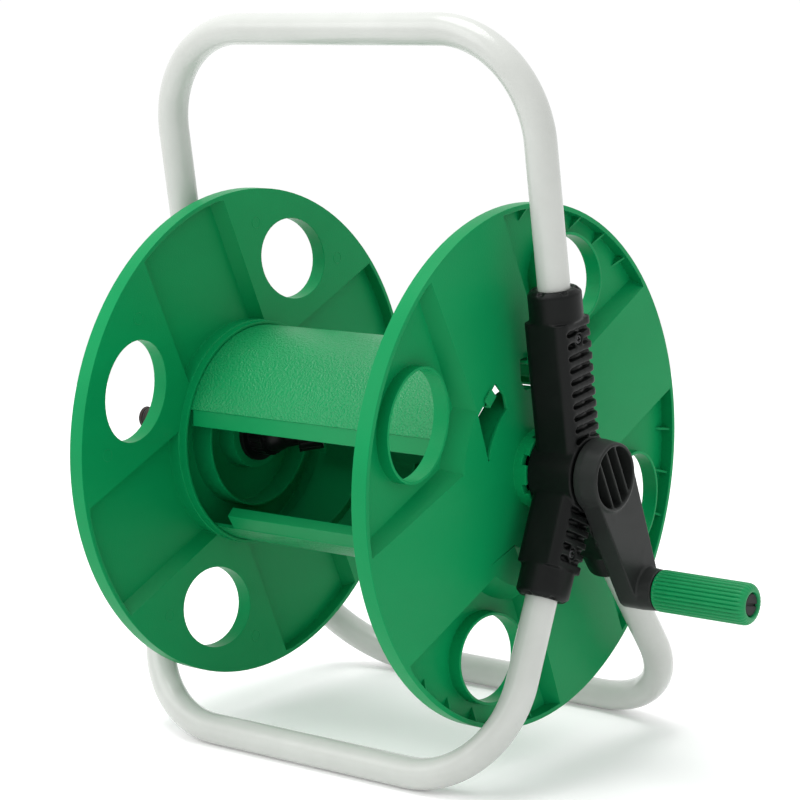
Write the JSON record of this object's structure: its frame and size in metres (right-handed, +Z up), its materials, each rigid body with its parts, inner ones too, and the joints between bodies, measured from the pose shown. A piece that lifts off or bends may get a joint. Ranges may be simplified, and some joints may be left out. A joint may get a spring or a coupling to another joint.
{
  "type": "garden hose reel",
  "caption": "Portable garden hose reel: a green moulded drum with pierced round flanges turns by a crank between black brackets on a white bent-tube stand with carry handle.",
  "frame": {"origin": "on the floor, in the middle of the whole outline seen from above", "axes": "+X along the reel's axle towards the crank, +Y to the back where the rear leg stands, +Z up"},
  "size_m": [0.5155, 0.36, 0.52],
  "materials": {
    "white_tube": "gloss",
    "green_plastic": "satin",
    "black_plastic": "satin",
    "brown_plastic": "satin",
    "steel": "zinc plated",
    "rubber": "matte"
  },
  "bodies": {
    "stand": {"handle_tube": "white_tube", "front_leg_tube": "white_tube", "rear_leg_tube": "white_tube", "crank_side_bracket": "black_plastic", "inlet_side_bracket": "black_plastic", "tube_screws": "steel", "inlet_spindle": "black_plastic", "spindle_screws": "steel", "spindle_o_rings": "rubber", "inlet_connector": "brown_plastic", "connector_washer": "rubber", "connector_o_ring": "rubber"},
    "reel": {"crank_side_flange": "green_plastic", "inlet_side_flange": "green_plastic", "upper_drum_shell": "green_plastic", "lower_drum_shell": "green_plastic", "crank_arm": "black_plastic", "crank_fixing_screw": "steel", "crank_washer": "steel", "grip_pin": "black_plastic", "drum_elbow": "black_plastic", "elbow_clip": "steel", "hose_tail": "black_plastic", "hose_nut": "black_plastic", "hose_tail_washer": "rubber"},
    "grip": {"crank_grip": "green_plastic"}
  },
  "joints": [
    {"name": "reel_spin", "type": "hinge", "parent": "stand", "child": "reel", "pos_m": [-0.02375, 0, 0.212], "axis": [1, 0, 0], "continuous": true},
    {"name": "grip_spin", "type": "hinge", "parent": "reel", "child": "grip", "pos_m": [0.22325, 0.04004, 0.12806], "axis": [1, 0, 0], "continuous": true}
  ]
}
